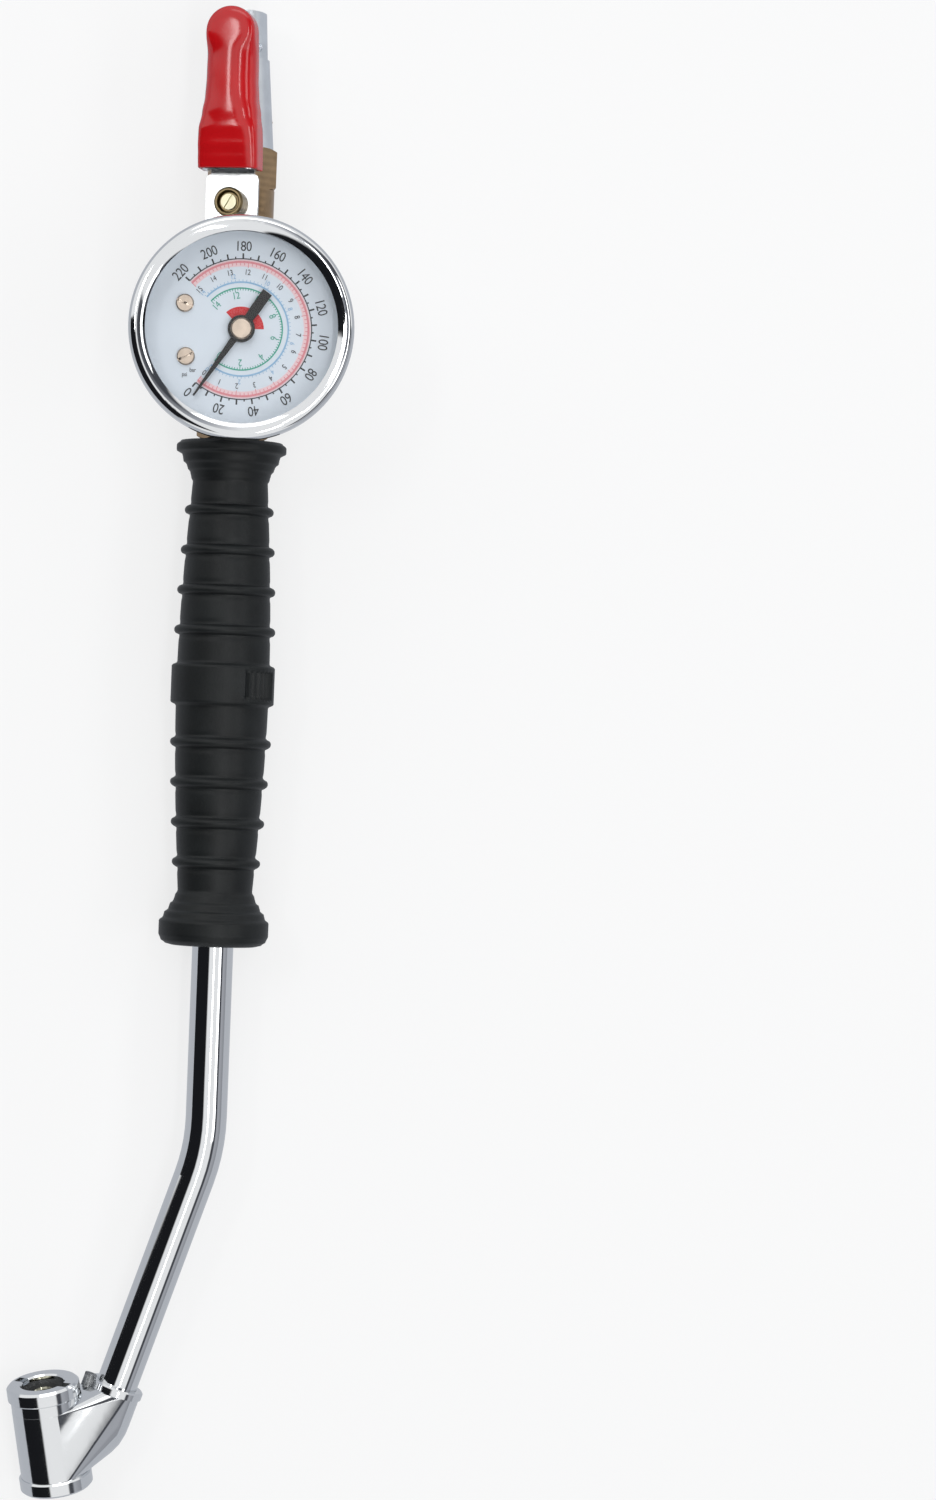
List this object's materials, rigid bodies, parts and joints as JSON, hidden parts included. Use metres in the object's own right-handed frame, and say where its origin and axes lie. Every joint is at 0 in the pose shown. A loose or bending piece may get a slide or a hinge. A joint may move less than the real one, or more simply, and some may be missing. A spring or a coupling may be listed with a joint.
{
  "type": "tire inflator gauge",
  "caption": "Hand-held tyre inflator: dial gauge, squeeze trigger, ribbed rubber grip, bent chrome tube and a twin-ended chuck, lying on its back.",
  "frame": {"origin": "middle of the bounding box's base, on the surface that it lies on", "axes": "+Y up the handle towards the trigger, +Z out of the dial, +X to the dial's right as the picture shows it"},
  "size_m": [0.0936, 0.46, 0.0555],
  "materials": {
    "chrome": "bright chrome plate",
    "brass": "turned brass",
    "brass_movement": "stamped brass",
    "bright_steel": "bright zinc-plated steel",
    "spring_steel": "drawn wire",
    "satin_alloy": "satin die-cast alloy",
    "rubber_black": "moulded black rubber",
    "seal_rubber": "moulded seal rubber",
    "vinyl_red": "gloss dipped vinyl",
    "clear_lens": "clear",
    "dial_white": "matt white enamel",
    "pointer_black": "matt black",
    "print_black": "printed ink",
    "print_pink": "printed ink",
    "print_blue": "printed ink",
    "print_green": "printed ink",
    "print_red": "printed ink",
    "dial_screw_brass": "turned brass",
    "case_steel": "plated drawn steel"
  },
  "bodies": {
    "frame": {"bent_tube": "chrome", "handle_grip": "rubber_black", "head_casting": "chrome", "tube_nut": "brass", "chuck_body": "chrome", "passage_plug": "bright_steel", "gauge_case": "case_steel", "bezel_ring": "chrome", "lens_gasket": "seal_rubber", "gauge_lens": "clear_lens", "dial_plate": "dial_white", "scale_ticks": "print_black", "scale_band_pink": "print_pink", "scale_band_blue": "print_blue", "scale_band_green": "print_green", "dial_red_sector": "print_red", "dial_screws": "dial_screw_brass", "dial_posts": "brass_movement", "gauge_stem": "brass", "bourdon_tube": "brass_movement", "movement_base_plate": "brass_movement", "movement_top_plate": "brass_movement", "movement_pillars": "brass_movement", "valve_body": "brass", "inlet_handle": "satin_alloy", "plunger_bush": "brass", "poppet_cap": "brass", "inlet_spring": "spring_steel", "trigger_bracket": "bright_steel", "pivot_pin": "bright_steel", "bleed_bush": "brass", "bleed_spring": "spring_steel", "foot_ring_top": "chrome", "foot_ring_bottom": "chrome", "foot_seal_top": "seal_rubber", "foot_seal_bottom": "seal_rubber", "chuck_spring": "spring_steel"},
    "trigger": {"trigger_lever": "bright_steel", "trigger_vinyl": "vinyl_red"},
    "plunger": {"inlet_plunger": "brass", "poppet_seal": "seal_rubber"},
    "bleed": {"bleed_button": "brass"},
    "pointer": {"pointer": "pointer_black", "pointer_cap": "dial_screw_brass", "pinion_arbor": "bright_steel"},
    "sector": {"sector_gear": "brass_movement"},
    "link": {"movement_link": "brass_movement", "bourdon_tip": "brass_movement"},
    "core_top": {"chuck_core_top": "brass"},
    "core_bottom": {"chuck_core_bottom": "brass"}
  },
  "joints": [
    {"name": "trigger_squeeze", "type": "hinge", "parent": "frame", "child": "trigger", "pos_m": [0.00779, 0.18388, 0.03011], "axis": [-0.9636, 0, -0.2672], "range_deg": [0, 7], "stiffness_Nm_per_rad": 0.15, "springref_deg": -5.73},
    {"name": "plunger_press", "type": "slide", "parent": "frame", "child": "plunger", "axis": [0.2672, 0, -0.9636], "range_m": [0, 0.00179], "stiffness_N_per_m": 150, "springref_m": -0.001, "deforming": ["inlet_spring"]},
    {"name": "bleed_press", "type": "slide", "parent": "frame", "child": "bleed", "axis": [0.2672, 0, -0.9636], "range_m": [0, 0.0012], "stiffness_N_per_m": 600, "springref_m": -0.001, "deforming": ["bleed_spring"]},
    {"name": "pointer_spin", "type": "hinge", "parent": "frame", "child": "pointer", "pos_m": [0.01282, 0.12958, 0.0476], "axis": [0, 0, 1], "range_deg": [0, 262], "stiffness_Nm_per_rad": 0.0004, "springref_deg": -17.19},
    {"name": "sector_swing", "type": "hinge", "parent": "frame", "child": "sector", "pos_m": [0.00442, 0.14413, 0.0376], "axis": [0, 0, 1], "range_deg": [-44, 0]},
    {"name": "link_swing", "type": "hinge", "parent": "sector", "child": "link", "pos_m": [0.00442, 0.14853, 0.0376], "axis": [0, 0, 1], "range_deg": [0, 44]},
    {"name": "core_top_press", "type": "slide", "parent": "frame", "child": "core_top", "axis": [0.1617, -0.965, -0.2065], "range_m": [0, 0.0018], "stiffness_N_per_m": 500, "springref_m": -0.002, "deforming": ["chuck_spring"]},
    {"name": "core_bottom_press", "type": "slide", "parent": "frame", "child": "core_bottom", "axis": [-0.1617, 0.965, 0.2065], "range_m": [0, 0.0018], "stiffness_N_per_m": 500, "springref_m": -0.002, "deforming": ["chuck_spring"]}
  ],
  "couplings": [
    {"joint": "trigger_squeeze", "follows": "plunger_press", "rad_per_m": 68.027},
    {"joint": "sector_swing", "follows": "pointer_spin", "ratio": -0.16667},
    {"joint": "link_swing", "follows": "pointer_spin", "ratio": 0.16667}
  ]
}
